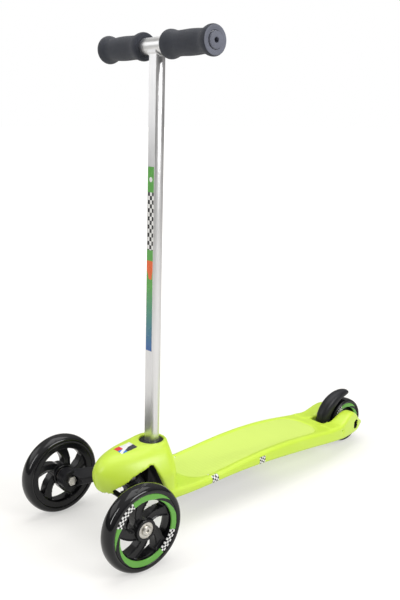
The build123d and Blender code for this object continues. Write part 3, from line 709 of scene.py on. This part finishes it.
def panel_depth(place):
    """How much of the tread panel's recess a point gets."""
    centre, half, corner = (PANEL_FRONT + PANEL_BACK) / 2, (PANEL_BACK - PANEL_FRONT) / 2, 0.034
    reach = math.hypot(max(abs(place.x) - PANEL_HALF + corner, 0),
                       max(abs(place.y - centre) - half + corner, 0))
    return 1 - soft_step(reach, corner - 0.001, corner + 0.0045)


AXLE_RECESS_R = 8.4 * MM


def painted_shade_faces(place, normal):
    """Painted shade: the walls inside the hood round the steering arms, and the rear axle recesses."""
    from_axle = math.hypot(place.y - WHEELS["rear"].y, place.z - WHEELS["rear"].z)
    if abs(place.x) > 0.02 and from_axle < AXLE_RECESS_R:
        return True
    inside = abs(place.x) < 0.0245 and -0.2 < place.y < -0.155 and 0.047 < place.z < 0.112
    roof = abs(place.x) < 0.04 and -0.222 < place.y < -0.16 and place.z < 0.116 and normal.z < -0.3
    return (inside and abs(normal.x) > 0.35) or (roof and place.z > 0.05) or (
        -0.195 < place.y < -0.178 and normal.y < -0.6 and 0.047 < place.z < 0.115 and abs(place.x) < 0.036)


def build_deck():
    deck = recast("deck", "moulded_deck", 1.6 * MM, 9, deck_relax)
    upward = [vertex.index for vertex in deck.data.vertices
              if vertex.normal.z > 0.55 and vertex.co.z > 0.05 and abs(vertex.co.x) < 0.05]
    for index in upward:
        place = deck.data.vertices[index].co
        place.z -= 1.3 * MM * panel_depth(place)
    deck.data.update()
    deck.data.materials.clear()
    deck.data.materials.append(LIME)
    deck.data.materials.append(CAST_BLACK)
    # Painted shade: faces in the hollows of the hood and in the rear axle recesses take the black second
    # material.
    for face in deck.data.polygons:
        if painted_shade_faces(face.center, face.normal):
            face.material_index = 1
    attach(deck, "chassis")
    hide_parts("deck")
    return deck


DECK = build_deck()

# %% [markdown]
# ## Steering arms and truck
#
# The arms and the bracket that carries the kingpins are castings. Castings have rounded corners
# and fillets, because metal doesn't flow into sharp ones, so these too are relaxed copies of the
# CAD solids, with a finer skin than the deck.

# %% Arms, truck and tie rod
def cast_piece(node, body, voxel, passes):
    piece = recast(node, f"cast_{node}", voxel, passes)
    piece.data.materials.clear()
    piece.data.materials.append(CAST_BLACK)
    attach(piece, body)
    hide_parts(node)
    return piece


CAST_PIECES = (
    ("steering_arm_left", "arm_left", 0.7 * MM, 4), ("steering_arm_right", "arm_right", 0.7 * MM, 4),
    ("truck_bracket", "chassis", 0.8 * MM, 3), ("tie_rod", "tie_rod", 0.6 * MM, 3),
)
for settings in CAST_PIECES:
    print("cast", cast_piece(*settings).name)

# %% [markdown]
# ## Tyres
#
# A tyre is poured round its core in a turned mould, so its outline is spun round the axle: a
# rounded tread, soft shoulders, and a small lip where it meets the rim.

# %% Tyres
def finish(piece, material, body, slot, *nodes):
    """Give a new piece its material and its body, and hide the nodes it stands for; `slot` is not used."""
    piece.data.materials.clear()
    piece.data.materials.append(material)
    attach(piece, body)
    if nodes:
        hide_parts(*nodes)
    return piece


def build_tyre(side, rim, half=0.012):
    centre, radius = WHEELS[side], WHEEL_R[side]
    crown = [(x * half, rim + 0.003 + (radius - rim - 0.003) * r) for x, r in
             [(math.cos(a) * 1.0, math.sin(a) ** 0.86) for a in [math.pi * k / 22 for k in range(23)]]]
    outline = crown + [(-half + 0.0007, rim + 0.0006), (-half + 0.0013, rim), (half - 0.0013, rim),
                       (half - 0.0007, rim + 0.0006)]
    tyre = spun(f"tyre_skin_{side}", outline, centre, 128)
    only(tyre)
    bpy.ops.object.shade_smooth_by_angle(angle=math.radians(50))
    return finish(tyre, TYRE_BLACK, f"wheel_{side}", "tyre", f"tyre_{side}")


for side, seat in (("left", 0.050), ("right", 0.050), ("rear", 0.033)):
    print("tyre", build_tyre(side, seat).name)

# %% [markdown]
# ## Wheel cores
#
# A core is a rim and a hub joined by five swept spokes, moulded in one. One spoke is made from a
# strip that follows a curve from hub to rim, thickened, with a channel pressed into its face. It is
# copied round the hub, then rim, hub and spokes are fused by a voxel remesh, which leaves the
# fillets that a moulding has.

# %% Wheel cores
def build_spoke(side, hub, rim, depth, width_hub, width_rim, sweep, mirror):
    """One spoke at the top of the wheel, its rim end at 0 degrees."""
    start_clean()
    steps = 8
    bpy.ops.mesh.primitive_grid_add(x_subdivisions=3, y_subdivisions=steps, size=0.02, location=(0, 0, 0))
    spoke = named(f"spoke_{side}")
    mesh = edit(spoke)
    for vertex in mesh.verts:
        u, t = vertex.co.x / 0.01, vertex.co.y / 0.02 + 0.5
        radius = hub + (rim - hub) * t
        angle = math.radians(-sweep * (1 - t) ** 1.35) * mirror
        width = width_hub + (width_rim - width_hub) * t ** 2
        vertex.co = Vector((0, math.sin(angle) * radius + u * width / 2 * math.cos(angle),
                            math.cos(angle) * radius - u * width / 2 * math.sin(angle)))
    bmesh.update_edit_mesh(spoke.data)
    bpy.ops.mesh.select_all(action="SELECT")
    bpy.ops.mesh.extrude_region_move(TRANSFORM_OT_translate={"value": (depth, 0, 0)})
    bpy.ops.mesh.select_all(action="SELECT")
    bpy.ops.transform.translate(value=(-depth / 2, 0, 0))
    bpy.ops.mesh.normals_make_consistent(inside=False)
    for face_sign in (-1, 1):
        pick(spoke, lambda face: face.normal.x * face_sign > 0.9)
        bpy.ops.mesh.inset(thickness=0.0022, use_boundary=True, use_even_offset=False)
        bpy.ops.transform.translate(value=(-face_sign * 0.0024, 0, 0))
    bpy.ops.object.mode_set(mode="OBJECT")
    return spoke


def ring_part(name, outline, centre):
    return spun(name, outline, centre, 96)


def build_core(side, rim, inner, hub, half, spoke_sizes, voxel):
    centre = WHEELS[side]
    mirror = 1 if side != "right" else -1
    seat = 0.0112
    parts = [
        ring_part("rim_part", [(-half, inner), (-half, rim - 0.0001), (half, rim - 0.0001), (half, inner),
                               (half - 0.005, inner - 0.0014), (-half + 0.005, inner - 0.0014)], centre),
        ring_part("hub_part", [(-half, seat), (-half, hub - 0.001), (-half + 0.001, hub), (half - 0.001, hub),
                               (half, hub - 0.001), (half, seat)], centre),
    ]
    spoke = build_spoke(side, hub - 0.002, inner + 0.001, *spoke_sizes, mirror)
    for k in range(5):
        turn = (Matrix.Translation(centre)
                @ Matrix.Rotation(math.radians(-(360 + 72 * k)) * mirror, 4, "X"))
        parts.append(copied(spoke, f"spoke_copy_{k}", turn))
    bpy.data.objects.remove(spoke)
    core = joined(parts, f"core_{side}")
    applied(core, "REMESH", mode="VOXEL", voxel_size=voxel, adaptivity=0.0)
    applied(core, "SMOOTH", factor=0.5, iterations=4)
    only(core)
    bpy.ops.object.shade_smooth()
    print(core.name, "has", len(core.data.polygons), "faces")
    return finish(core, CORE_FINISH[side], f"wheel_{side}", "wheel_core", f"wheel_core_{side}")


CORES = [build_core(side, 0.050, 0.0415, 0.0155, 0.011, (0.0150, 0.0130, 0.0195, 40), 0.75 * MM)
         for side in ("left", "right")]
CORES.append(build_core("rear", 0.033, 0.0255, 0.0150, 0.011, (0.0150, 0.0100, 0.0130, 20), 0.7 * MM))

# %% [markdown]
# ## Foam grips and end plugs
#
# The grips are sleeves of foam rubber, ground to shape while they turn: a lip at each end keeps the
# hand on, and the middle swells a little. The plug closes the bar and stands in the mouth of the
# grip. The grip's outer end face has the plug's grey, so the two look like one wide disc.

# %% Grips and plugs
GRIP_LINE = [
    (25.0, 11.05), (25.0, 11.15), (25.0, 12.5), (25.0, 16.6), (25.5, 17.8), (27.0, 18.6), (30.0, 18.9),
    (34.0, 18.3), (38.5, 16.9), (43.0, 15.9), (50.0, 15.7), (60.0, 16.1), (72.0, 16.4), (84.0, 15.9),
    (92.0, 15.2), (97.0, 15.4), (101.5, 16.8), (105.5, 18.5), (109.0, 19.3), (112.0, 19.0), (113.6, 18.0),
    (114.0, 16.6), (113.9, 14.0), (113.8, 11.6), (113.8, 11.15), (110.0, 11.05), (30.0, 11.05),
]


def build_grip(side, sign):
    outline = [(x * MM * sign, r * MM) for x, r in GRIP_LINE]
    grip = spun(f"foam_grip_{side}", outline, Vector((0, BAR.y, BAR.z)), 72)
    applied(grip, "SUBSURF", levels=1, render_levels=1)
    only(grip)
    bpy.ops.object.shade_smooth()
    finish(grip, FOAM, "chassis", "foam", f"grip_{side}")
    grip.data.materials.append(GREY_PLUG)
    for face in grip.data.polygons:
        if abs(face.center.x) > 0.1125 and abs(face.normal.x) > 0.75:
            face.material_index = 1
    return grip


def build_plug(side, sign):
    low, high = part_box(f"bar_plug_{side}")
    end = max(abs(low.x), abs(high.x))
    line = [(end - 0.0060, 0.0020), (end - 0.0060, 0.0034), (end - 0.0004, 0.0034), (end, 0.0038),
            (end, 0.0098), (end - 0.0006, 0.0106), (end - 0.0018, 0.0109), (end - 0.0019, 0.0092),
            (end - 0.0140, 0.0092), (end - 0.0140, 0.0020)]
    plug = spun(f"end_plug_{side}", [(x * sign, r) for x, r in line], Vector((0, BAR.y, BAR.z)), 64)
    only(plug)
    bpy.ops.object.shade_smooth_by_angle(angle=math.radians(40))
    return finish(plug, GREY_PLUG, "chassis", "grey_plastic", f"bar_plug_{side}")


for build in (build_grip, build_plug):
    for side, sign in (("left", 1), ("right", -1)):
        print("bar end", build(side, sign).name)

# %% [markdown]
# ## Stem
#
# The stem is a round extruded tube with one flat, which carries the sticker and stops the tube
# turning in its socket. A circle gets its flat, is drawn up along the stem and leaned back by the
# rake, and Solidify gives it its wall.

# %% Stem
STEM_R, STEM_FLAT, STEM_WALL = 10.7 * MM, 7.5 * MM, 1.5 * MM
STEM_FOOT = Vector((0, COLLAR.y, 0.072))
RAKE = math.atan2(BAR.y - STEM_FOOT.y, BAR.z - STEM_FOOT.z)


def build_stem():
    start_clean()
    bpy.ops.mesh.primitive_circle_add(vertices=96, radius=STEM_R, fill_type="NOTHING", location=(0, 0, 0))
    stem = named("stem_extrusion")
    mesh = edit(stem)
    for vertex in mesh.verts:
        vertex.co.y = max(vertex.co.y, -STEM_FLAT)
    bmesh.update_edit_mesh(stem.data)
    bpy.ops.mesh.select_all(action="SELECT")
    length = (BAR.z - STEM_FOOT.z) / math.cos(RAKE) - 10.2 * MM
    bpy.ops.mesh.extrude_region_move(TRANSFORM_OT_translate={"value": (0, 0, length)})
    bpy.ops.object.mode_set(mode="OBJECT")
    outward(stem)
    applied(stem, "SOLIDIFY", thickness=STEM_WALL, offset=-1.0)
    rounded(stem, 0.7 * MM, 3, 20)
    stem.data.transform(Matrix.Translation(STEM_FOOT) @ Matrix.Rotation(-RAKE, 4, "X"))
    return finish(stem, STEM_METAL, "chassis", "aluminium", "stem_tube")


build_stem()
print("stem rake", round(math.degrees(RAKE), 2), "degrees")

# %% [markdown]
# ## Brake lever
#
# The lever is a curved horn that lies over the rear wheel, broad at its hinge and narrow at its
# tip. It is drawn as a person would: a ring of points at the foot is extruded station by station
# along the wheel's curve, each ring narrower than the last, and a subdivision surface rounds it.

# %% Brake lever
# Each station is (inner y, inner z, outer y, outer z, half width) in millimetres.
LEVER_STATIONS = [
    (231.6, 41.5, 213.5, 44.0, 10.6), (232.2, 50.0, 212.4, 54.0, 11.2), (235.4, 60.0, 215.0, 66.0, 11.9),
    (241.2, 69.2, 223.0, 77.2, 12.3), (249.6, 77.2, 234.5, 87.6, 12.2), (260.0, 83.0, 249.0, 95.0, 11.4),
    (271.5, 86.4, 265.2, 98.6, 10.2), (281.5, 88.0, 279.0, 97.8, 8.6), (288.2, 89.2, 287.4, 95.2, 6.2),
]
# One ring, as (across, from inner to outer), each from -1 to 1.
LEVER_RING = [(0.0, -0.72), (0.55, -0.86), (0.9, -1.0), (1.0, -0.55), (0.97, 0.1), (0.78, 0.68), (0.4, 0.95),
              (0.0, 1.04), (-0.4, 0.95), (-0.78, 0.68), (-0.97, 0.1), (-1.0, -0.55), (-0.9, -1.0), (-0.55, -0.86)]


def lever_point(station, across, out):
    inner_y, inner_z, outer_y, outer_z, half = station
    t = (out + 1) / 2
    return Vector((across * half, inner_y + (outer_y - inner_y) * t, inner_z + (outer_z - inner_z) * t)) * MM


def build_lever():
    start_clean()
    bpy.ops.mesh.primitive_circle_add(vertices=len(LEVER_RING), radius=MM, fill_type="NGON",
                                      location=(0, 0, 0))
    lever = named("brake_horn")
    edit(lever)
    for number, station in enumerate(LEVER_STATIONS):
        if number:
            bpy.ops.mesh.extrude_region_move(TRANSFORM_OT_translate={"value": (0, 0, MM)})
        mesh = bmesh.from_edit_mesh(lever.data)
        ring = next(face for face in mesh.faces if face.select)
        for loop, (across, out) in zip(ring.loops, LEVER_RING):
            loop.vert.co = lever_point(station, across, out)
        bmesh.update_edit_mesh(lever.data)
    bpy.ops.mesh.inset(thickness=1.4 * MM, use_even_offset=False)
    pick(lever, lambda face: len(face.verts) > 4 and face.calc_center_median().z < 0.05)
    bpy.ops.mesh.inset(thickness=1.0 * MM, use_even_offset=False)
    bpy.ops.object.mode_set(mode="OBJECT")
    outward(lever)
    applied(lever, "SUBSURF", levels=3, render_levels=3)
    only(lever)
    bpy.ops.object.shade_smooth()
    print("brake lever", len(lever.data.polygons), "faces")
    return finish(lever, SATIN_BLACK, "brake", "black_plastic", "brake_lever")


build_lever()

# %% [markdown]
# ## Bearings and bolts
#
# Each wheel turns on two shielded ball bearings. What shows is the outer ring, a pressed shield in a
# shallow groove, and the inner ring that stands a hair proud. The axle bolts are CAD pieces that
# keep their meshes.

# %% Bearings and bolts
def build_bearings(side):
    centre = WHEELS[side]
    halves = []
    for sign in (-1, 1):
        line = [(10.0, 11.15), (10.15, 10.9), (10.15, 9.9), (9.75, 9.75), (9.7, 9.3), (9.85, 9.0), (9.85, 6.9),
                (9.7, 6.6), (9.75, 6.3), (10.2, 6.2), (10.2, 4.3), (10.0, 4.06), (3.2, 4.06), (3.2, 11.15)]
        halves.append(spun(f"bearing_{side}", [(x * sign * MM, r * MM) for x, r in line], centre, 64))
    bearing = joined(halves, f"shielded_bearings_{side}")
    only(bearing)
    bpy.ops.object.shade_smooth_by_angle(angle=math.radians(32))
    return finish(bearing, STEEL, f"wheel_{side}", "steel", f"bearings_{side}")


for side in WHEELS:
    print("bearings", build_bearings(side).name)



# %% [markdown]
# ## Stickers
#
# The printed matter is vinyl. The long strip on the flat of the stem has a chequered field, a green
# panel, an orange wedge and a fade from green to blue. The deck has two small chequered patches on
# each flank, and a patch of coloured fields on its nose. A patch is a small grid: a ray from each of
# its points finds the deck, the point is laid there, and Solidify gives the sheet its thickness.

# %% Stem strip
def make_strip():
    material, tree, surface = shader("printed_strip", 0.28, Coat_Weight=0.3, Coat_Roughness=0.15)
    place = place_of(tree)
    split = put(tree, "ShaderNodeSeparateXYZ", place).outputs
    x, z = split["X"], split["Z"]
    white, black, green = (0.82, 0.82, 0.80, 1), (0.012, 0.012, 0.014, 1), (0.10, 0.38, 0.06, 1)
    flag = use(tree, CHECKS, Across=calc(tree, "MULTIPLY", calc(tree, "ADD", x, 0.02), 1 / 0.0046),
               Along=calc(tree, "MULTIPLY", z, 1 / 0.0056))["White"]
    tone = blend_colours(tree, ramp(tree, z, 0.258, 0.352, smooth=False), (0.012, 0.10, 0.36, 1), green)
    wedge = calc(tree, "LESS_THAN", calc(tree, "ABSOLUTE", calc(tree, "ADD", x, calc(
        tree, "MULTIPLY", calc(tree, "SUBTRACT", z, 0.374), 0.10))), calc(
        tree, "MULTIPLY", calc(tree, "SUBTRACT", z, 0.352), 0.30))
    tone = blend_colours(tree, calc(tree, "MULTIPLY", between(tree, z, 0.361, 0.387), wedge), tone,
                         (0.80, 0.13, 0.02, 1))
    tone = blend_colours(tree, between(tree, z, 0.402, 0.481), tone, blend_colours(tree, flag, black, white))
    dot = calc(tree, "LESS_THAN", calc(tree, "SQRT", calc(tree, "ADD", calc(tree, "POWER", x, 2.0), calc(
        tree, "POWER", calc(tree, "SUBTRACT", z, 0.498), 2.0))), 0.0034)
    tone = blend_colours(tree, dot, tone, white)
    edge = calc(tree, "GREATER_THAN", calc(tree, "ABSOLUTE", x), 0.0067)
    tree.links.new(blend_colours(tree, edge, tone, white), surface.inputs["Base Color"])
    worn = use(tree, HANDLING, Place=place, Amount=1.0)
    tree.links.new(ramp(tree, worn["Gloss"], 0, 1, 0.24, 0.36), surface.inputs["Roughness"])
    return material


STRIP = make_strip()

# %% Patches on the deck
def laid_patch(name, place, facing, size_x, size_y, spin, target, material, corner=0.0):
    """A small thin sheet that follows the surface behind it."""
    start_clean()
    bpy.ops.mesh.primitive_grid_add(x_subdivisions=14, y_subdivisions=14, size=1, location=(0, 0, 0))
    patch = named(name)
    turn = Vector(facing).to_track_quat("Z", "Y").to_matrix().to_4x4()
    patch.data.transform(Matrix.Translation(place) @ turn @ Matrix.Rotation(spin, 4, "Z")
                         @ Matrix.Diagonal((size_x, size_y, 1, 1)))
    normal = Vector(facing).normalized()
    tree = BVHTree.FromPolygons([v.co for v in target.data.vertices],
                                [p.vertices for p in target.data.polygons])
    for vertex in patch.data.vertices:
        hit = tree.ray_cast(vertex.co + normal * 0.03, -normal)[0]
        if hit:
            vertex.co = hit + normal * 0.00012
    patch.data.update()
    applied(patch, "SOLIDIFY", thickness=0.00012, offset=-1.0)
    only(patch)
    bpy.ops.object.shade_smooth_by_angle(angle=math.radians(40))
    return finish(patch, material, "chassis", "decal")


def make_check_patch(name, centre, along, up, cell):
    material, tree, surface = shader(name, 0.3, Coat_Weight=0.3, Coat_Roughness=0.15)
    place = place_of(tree, centre)
    one = put(tree, "ShaderNodeVectorMath", place, along, operation="DOT_PRODUCT").outputs["Value"]
    two = put(tree, "ShaderNodeVectorMath", place, up, operation="DOT_PRODUCT").outputs["Value"]
    flag = use(tree, CHECKS, Across=calc(tree, "MULTIPLY", one, 1 / cell),
               Along=calc(tree, "MULTIPLY", two, 1 / cell))["White"]
    tree.links.new(blend_colours(tree, flag, (0.012, 0.012, 0.014, 1), (0.82, 0.82, 0.80, 1)),
                   surface.inputs["Base Color"])
    worn = use(tree, HANDLING, Place=place, Amount=1.0)
    tree.links.new(ramp(tree, worn["Gloss"], 0, 1, 0.24, 0.38), surface.inputs["Roughness"])
    return material


PATCH_Y, PATCH_Z = (-0.081, 0.0185), 0.0540
for number, y in enumerate(PATCH_Y):
    checks = make_check_patch(f"check_patch_{number}", (0, y, PATCH_Z), (0, 0.97, 0.22), (0, -0.22, 0.97),
                              0.0031)
    for side, sign in (("left", 1), ("right", -1)):
        laid_patch(f"flank_patch_{number}_{side}", (0.054 * sign, y, PATCH_Z), (sign, 0, 0.25), 0.0124,
                   0.0124, 0.0, DECK, checks)


def make_nose_patch(centre):
    material, tree, surface = shader("nose_patch", 0.28, Coat_Weight=0.3, Coat_Roughness=0.15)
    place = place_of(tree, centre)
    split = put(tree, "ShaderNodeSeparateXYZ", place).outputs
    x, y = split["X"], split["Y"]
    tone = blend_colours(tree, calc(tree, "GREATER_THAN", x, 0.0), (0.80, 0.80, 0.79, 1),
                         (0.03, 0.03, 0.035, 1))
    low = calc(tree, "LESS_THAN", y, -0.004)
    fields = blend_colours(tree, calc(tree, "GREATER_THAN", x, 0.0), (0.70, 0.03, 0.03, 1),
                           (0.015, 0.20, 0.62, 1))
    tone = blend_colours(tree, low, tone, fields)
    across = calc(tree, "ADD", x, calc(tree, "MULTIPLY", y, 0.6))
    slash = calc(tree, "LESS_THAN", calc(tree, "ABSOLUTE", across), 0.0028)
    tree.links.new(blend_colours(tree, slash, tone, (0.85, 0.85, 0.84, 1)), surface.inputs["Base Color"])
    worn = use(tree, HANDLING, Place=place, Amount=1.0)
    tree.links.new(ramp(tree, worn["Gloss"], 0, 1, 0.22, 0.36), surface.inputs["Roughness"])
    return material


NOSE_SPOT = (0.0, -0.2085, 0.121)
laid_patch("nose_sticker", NOSE_SPOT, (0, -0.25, 1), 0.021, 0.027, 0.0, DECK, make_nose_patch(NOSE_SPOT))
print("patches laid")

# %% [markdown]
# ## Materials of the CAD pieces that stay
#
# The turned and drawn pieces are already exact in the frame. They keep their meshes and get their
# finish.

# %% Finishes on the kept pieces
KEPT = {
    "steel": STEEL, "aluminium": STEM_METAL, "black_plastic": SATIN_BLACK, "black_cast": CAST_BLACK,
    "grey_plastic": GREY_PLUG, "foam": FOAM, "tyre": TYRE_BLACK, "wheel_core": CORE_FINISH["left"],
    "deck_plastic": LIME, "decal": STRIP,
}
for part in frame["record"]["subparts"]:
    cad = frame["nodes"][part["node"]]
    finish_of = BAR_METAL if part["node"] == "handlebar" else KEPT[part["material_slot"]]
    cad.data.materials.clear()
    cad.data.materials.append(finish_of)
print("finished", len(frame["nodes"]), "nodes")

# %% Import json
import json
